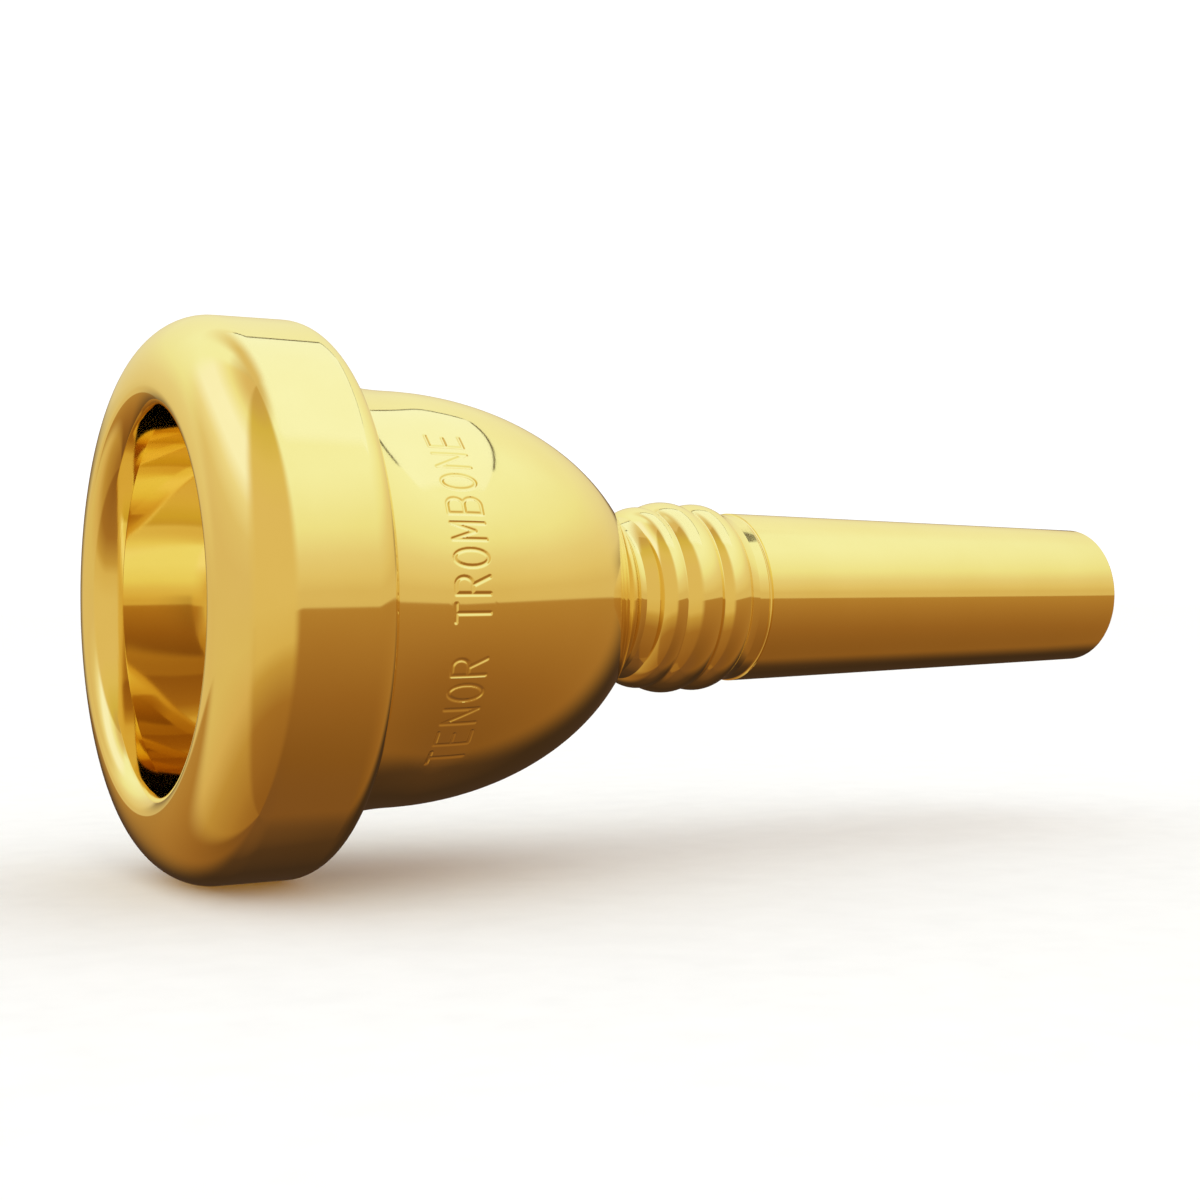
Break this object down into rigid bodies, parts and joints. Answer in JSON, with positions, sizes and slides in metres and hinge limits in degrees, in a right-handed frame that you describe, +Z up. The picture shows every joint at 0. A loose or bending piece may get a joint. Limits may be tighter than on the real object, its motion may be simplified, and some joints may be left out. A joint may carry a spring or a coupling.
{
  "type": "brass instrument mouthpiece",
  "caption": "Tenor trombone mouthpiece: turned rim, deep cup, beaded neck and tapered small shank that pushes into the instrument.",
  "frame": {"origin": "centre of the flat end of the shank", "axes": "+X along the axis of the turning, out of the shank into the instrument; the rim that meets the lips faces -X; +Z up"},
  "size_m": [0.0822, 0.038, 0.038],
  "materials": {
    "gold_plate": "polished gold electroplate",
    "silver_strike": "bright silver electroplate, hidden under the gold",
    "brass_body": "turned brass, bare only along the throat and backbore"
  },
  "bodies": {
    "root": {"gold_plate": "gold_plate", "silver_strike": "silver_strike", "brass_body": "brass_body"}
  },
  "joints": []
}
